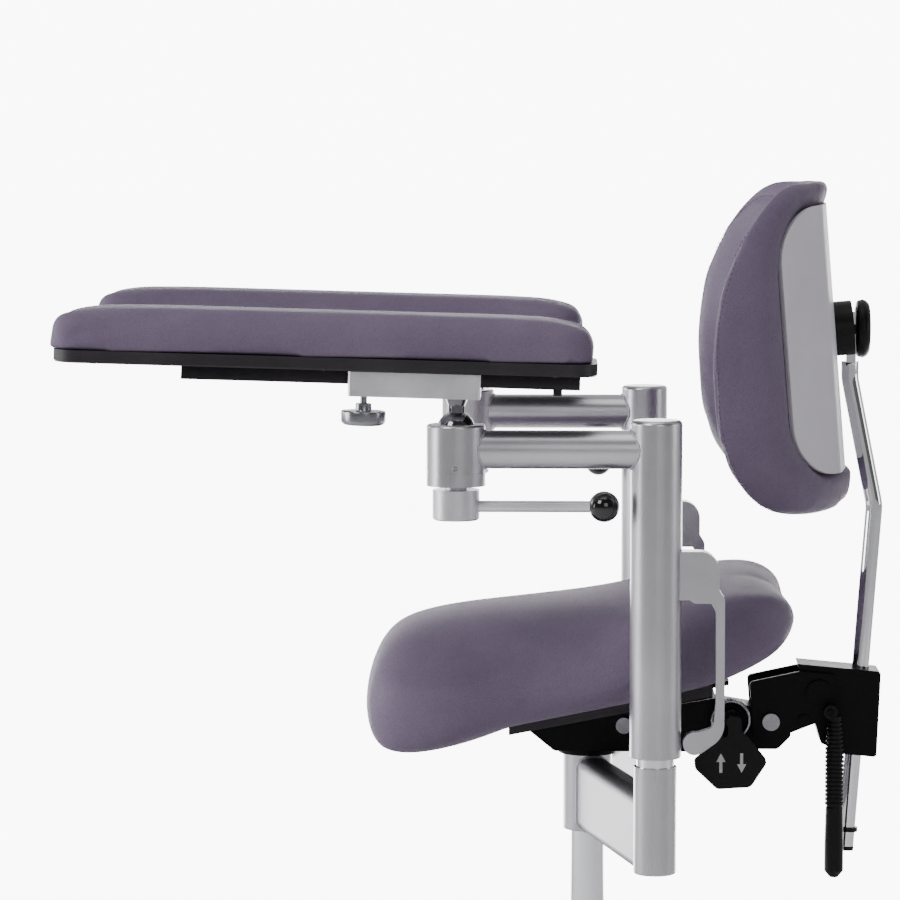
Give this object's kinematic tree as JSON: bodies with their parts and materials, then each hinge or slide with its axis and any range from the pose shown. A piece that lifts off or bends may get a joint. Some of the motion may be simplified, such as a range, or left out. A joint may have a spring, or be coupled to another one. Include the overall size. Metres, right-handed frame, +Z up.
{
  "type": "dentist stool",
  "caption": "Rolling work stool with a gas-lift seat, a reclining backrest and padded arm rests that lift, turn, tilt and slide.",
  "frame": {"origin": "on the floor under the gas column's axis", "axes": "+Z up, the sitter faces -Y, +X to the sitter's left"},
  "size_m": [0.6558, 0.7606, 0.961],
  "materials": {
    "upholstery": "smooth upholstery, satin",
    "black_board": "fine grain",
    "cast_aluminium": "polished casting",
    "black_plastic": "satin",
    "wheel_tread": "matte",
    "black_steel": "fine black powder coat",
    "chrome": "mirror",
    "bright_steel": "bright zinc",
    "silver_paint": "satin silver",
    "satin_aluminium": "bead-blasted",
    "dark_chrome": "dark mirror",
    "bushing_plastic": "satin",
    "knob_plastic": "gloss",
    "shell_plastic": "satin grey"
  },
  "bodies": {
    "base": {"base_star": "cast_aluminium", "gas_tube": "black_steel"},
    "rod": {"piston_rod": "bright_steel"},
    "column": {"gas_cylinder": "chrome", "arm_hub": "silver_paint", "arm_brackets": "silver_paint", "column_sockets": "silver_paint", "tilt_housing": "black_steel", "pivot_pins": "bright_steel", "lever_spring": "bright_steel"},
    "valve": {"valve_button": "bright_steel"},
    "paddle": {"height_paddle": "black_plastic"},
    "seat": {"seat_plate": "black_steel", "seat_board": "black_board", "seat_cushion": "upholstery"},
    "back_arm": {"link_plates": "black_steel", "bar_bracket": "black_steel"},
    "release": {"release_lever": "black_plastic"},
    "bar": {"back_bar": "chrome", "bar_fittings": "black_plastic"},
    "backrest": {"back_cushion": "upholstery", "back_shell": "shell_plastic", "hinge_boss": "black_plastic"},
    "hinge_knob": {"back_knob": "black_plastic"},
    "caster_1": {"caster_hood_1": "black_plastic"},
    "wheels_1": {"caster_wheels_1": "wheel_tread"},
    "caster_2": {"caster_hood_2": "black_plastic"},
    "wheels_2": {"caster_wheels_2": "wheel_tread"},
    "caster_3": {"caster_hood_3": "black_plastic"},
    "wheels_3": {"caster_wheels_3": "wheel_tread"},
    "caster_4": {"caster_hood_4": "black_plastic"},
    "wheels_4": {"caster_wheels_4": "wheel_tread"},
    "caster_5": {"caster_hood_5": "black_plastic"},
    "wheels_5": {"caster_wheels_5": "wheel_tread"},
    "post_left": {"arm_post_left": "chrome"},
    "arm_left": {"column_sleeve_left": "silver_paint", "support_arm_left": "silver_paint"},
    "clamp_left": {"clamp_lever_left": "silver_paint"},
    "lock_left": {"ball_lock_left": "satin_aluminium", "ball_knob_left": "knob_plastic"},
    "cup_left": {"ball_cup_left": "bushing_plastic"},
    "slide_left": {"ball_stud_left": "dark_chrome", "slide_block_left": "satin_aluminium"},
    "screw_left": {"lock_knob_left": "satin_aluminium"},
    "pad_left": {"pad_rail_left": "black_board", "pad_board_left": "black_board", "arm_pad_left": "upholstery"},
    "post_right": {"arm_post_right": "chrome"},
    "arm_right": {"column_sleeve_right": "silver_paint", "support_arm_right": "silver_paint"},
    "clamp_right": {"clamp_lever_right": "silver_paint"},
    "lock_right": {"ball_lock_right": "satin_aluminium", "ball_knob_right": "knob_plastic"},
    "cup_right": {"ball_cup_right": "bushing_plastic"},
    "slide_right": {"ball_stud_right": "dark_chrome", "slide_block_right": "satin_aluminium"},
    "screw_right": {"lock_knob_right": "satin_aluminium"},
    "pad_right": {"pad_rail_right": "black_board", "pad_board_right": "black_board", "arm_pad_right": "upholstery"}
  },
  "joints": [
    {"name": "swivel", "type": "hinge", "parent": "base", "child": "rod", "pos_m": [0, 0, 0.07], "axis": [0, 0, 1], "continuous": true},
    {"name": "seat_height", "type": "slide", "parent": "rod", "child": "column", "axis": [0, 0, 1], "range_m": [-0.075, 0.055]},
    {"name": "valve_press", "type": "slide", "parent": "column", "child": "valve", "axis": [0, 0, -1], "range_m": [0, 0.003], "stiffness_N_per_m": 40, "springref_m": -0.002},
    {"name": "height_lever", "type": "hinge", "parent": "column", "child": "paddle", "pos_m": [0.058, 0.131, 0.464], "axis": [1, 0, 0], "range_deg": [0, 15], "stiffness_Nm_per_rad": 0.6, "springref_deg": -11.46},
    {"name": "seat_tilt", "type": "hinge", "parent": "column", "child": "seat", "pos_m": [0, 0.033, 0.457], "axis": [1, 0, 0], "range_deg": [-6, 3]},
    {"name": "back_recline", "type": "hinge", "parent": "column", "child": "back_arm", "pos_m": [0, 0.1694, 0.4586], "axis": [1, 0, 0], "range_deg": [-20, 3]},
    {"name": "recline_release", "type": "hinge", "parent": "back_arm", "child": "release", "pos_m": [0.038, 0.2235, 0.47], "axis": [1, 0, 0], "range_deg": [-20, 0], "stiffness_Nm_per_rad": 0.3, "springref_deg": 8.59},
    {"name": "back_height", "type": "slide", "parent": "back_arm", "child": "bar", "axis": [0, 0.0756, 0.9971], "range_m": [-0.035, 0.06]},
    {"name": "back_tilt", "type": "hinge", "parent": "bar", "child": "backrest", "pos_m": [0, 0.2415, 0.822], "axis": [1, 0, 0], "range_deg": [-12, 2]},
    {"name": "back_tilt_lock", "type": "hinge", "parent": "bar", "child": "hinge_knob", "pos_m": [0, 0.2415, 0.822], "axis": [0, 1, 0], "continuous": true},
    {"name": "caster_swivel_1", "type": "hinge", "parent": "base", "child": "caster_1", "pos_m": [0, -0.285, 0.068], "axis": [0, 0, 1], "continuous": true},
    {"name": "caster_roll_1", "type": "hinge", "parent": "caster_1", "child": "wheels_1", "pos_m": [0, -0.303, 0.03], "axis": [1, 0, 0], "continuous": true},
    {"name": "caster_swivel_2", "type": "hinge", "parent": "base", "child": "caster_2", "pos_m": [0.27105, -0.08807, 0.068], "axis": [0, 0, 1], "continuous": true},
    {"name": "caster_roll_2", "type": "hinge", "parent": "caster_2", "child": "wheels_2", "pos_m": [0.28817, -0.09363, 0.03], "axis": [0.309, 0.9511, 0], "continuous": true},
    {"name": "caster_swivel_3", "type": "hinge", "parent": "base", "child": "caster_3", "pos_m": [0.16752, 0.23057, 0.068], "axis": [0, 0, 1], "continuous": true},
    {"name": "caster_roll_3", "type": "hinge", "parent": "caster_3", "child": "wheels_3", "pos_m": [0.1781, 0.24513, 0.03], "axis": [-0.809, 0.5878, 0], "continuous": true},
    {"name": "caster_swivel_4", "type": "hinge", "parent": "base", "child": "caster_4", "pos_m": [-0.16752, 0.23057, 0.068], "axis": [0, 0, 1], "continuous": true},
    {"name": "caster_roll_4", "type": "hinge", "parent": "caster_4", "child": "wheels_4", "pos_m": [-0.1781, 0.24513, 0.03], "axis": [-0.809, -0.5878, 0], "continuous": true},
    {"name": "caster_swivel_5", "type": "hinge", "parent": "base", "child": "caster_5", "pos_m": [-0.27105, -0.08807, 0.068], "axis": [0, 0, 1], "continuous": true},
    {"name": "caster_roll_5", "type": "hinge", "parent": "caster_5", "child": "wheels_5", "pos_m": [-0.28817, -0.09363, 0.03], "axis": [0.309, -0.9511, 0], "continuous": true},
    {"name": "arm_swing_left", "type": "hinge", "parent": "column", "child": "post_left", "pos_m": [0.227, 0.057, 0.4], "axis": [0, 0, 1], "range_deg": [-3, 14]},
    {"name": "arm_height_left", "type": "slide", "parent": "post_left", "child": "arm_left", "axis": [0, 0, 1], "range_m": [-0.006, 0.09]},
    {"name": "height_clamp_left", "type": "hinge", "parent": "arm_left", "child": "clamp_left", "pos_m": [0.227, 0.1001, 0.6124], "axis": [1, 0, 0], "range_deg": [0, 60]},
    {"name": "ball_clamp_left", "type": "hinge", "parent": "arm_left", "child": "lock_left", "pos_m": [0.227, -0.1172, 0.68], "axis": [0, 0, 1], "range_deg": [-35, 35]},
    {"name": "pad_turn_left", "type": "hinge", "parent": "arm_left", "child": "cup_left", "pos_m": [0.227, -0.1172, 0.745], "axis": [0, 0, 1], "range_deg": [-12, 45]},
    {"name": "pad_pitch_left", "type": "hinge", "parent": "cup_left", "child": "slide_left", "pos_m": [0.227, -0.1172, 0.745], "axis": [1, 0, 0], "range_deg": [-8, 20]},
    {"name": "pad_slide_left", "type": "slide", "parent": "slide_left", "child": "pad_left", "axis": [0, 0.9996, -0.0276], "range_m": [-0.06, 0.045]},
    {"name": "slide_lock_left", "type": "hinge", "parent": "slide_left", "child": "screw_left", "pos_m": [0.227, -0.19795, 0.75523], "axis": [0, 0.0276, 0.9996], "continuous": true},
    {"name": "arm_swing_right", "type": "hinge", "parent": "column", "child": "post_right", "pos_m": [-0.227, 0.057, 0.4], "axis": [0, 0, -1], "range_deg": [-3, 14]},
    {"name": "arm_height_right", "type": "slide", "parent": "post_right", "child": "arm_right", "axis": [0, 0, 1], "range_m": [-0.006, 0.09]},
    {"name": "height_clamp_right", "type": "hinge", "parent": "arm_right", "child": "clamp_right", "pos_m": [-0.227, 0.1001, 0.6124], "axis": [1, 0, 0], "range_deg": [0, 60]},
    {"name": "ball_clamp_right", "type": "hinge", "parent": "arm_right", "child": "lock_right", "pos_m": [-0.227, -0.1172, 0.68], "axis": [0, 0, -1], "range_deg": [-35, 35]},
    {"name": "pad_turn_right", "type": "hinge", "parent": "arm_right", "child": "cup_right", "pos_m": [-0.227, -0.1172, 0.745], "axis": [0, 0, -1], "range_deg": [-12, 45]},
    {"name": "pad_pitch_right", "type": "hinge", "parent": "cup_right", "child": "slide_right", "pos_m": [-0.227, -0.1172, 0.745], "axis": [1, 0, 0], "range_deg": [-8, 20]},
    {"name": "pad_slide_right", "type": "slide", "parent": "slide_right", "child": "pad_right", "axis": [0, 0.9996, -0.0276], "range_m": [-0.053, 0.052]},
    {"name": "slide_lock_right", "type": "hinge", "parent": "slide_right", "child": "screw_right", "pos_m": [-0.227, -0.19795, 0.75523], "axis": [0, 0.0276, 0.9996], "continuous": true}
  ],
  "couplings": [
    {"joint": "valve_press", "follows": "height_lever", "m_per_rad": 0.011459}
  ]
}
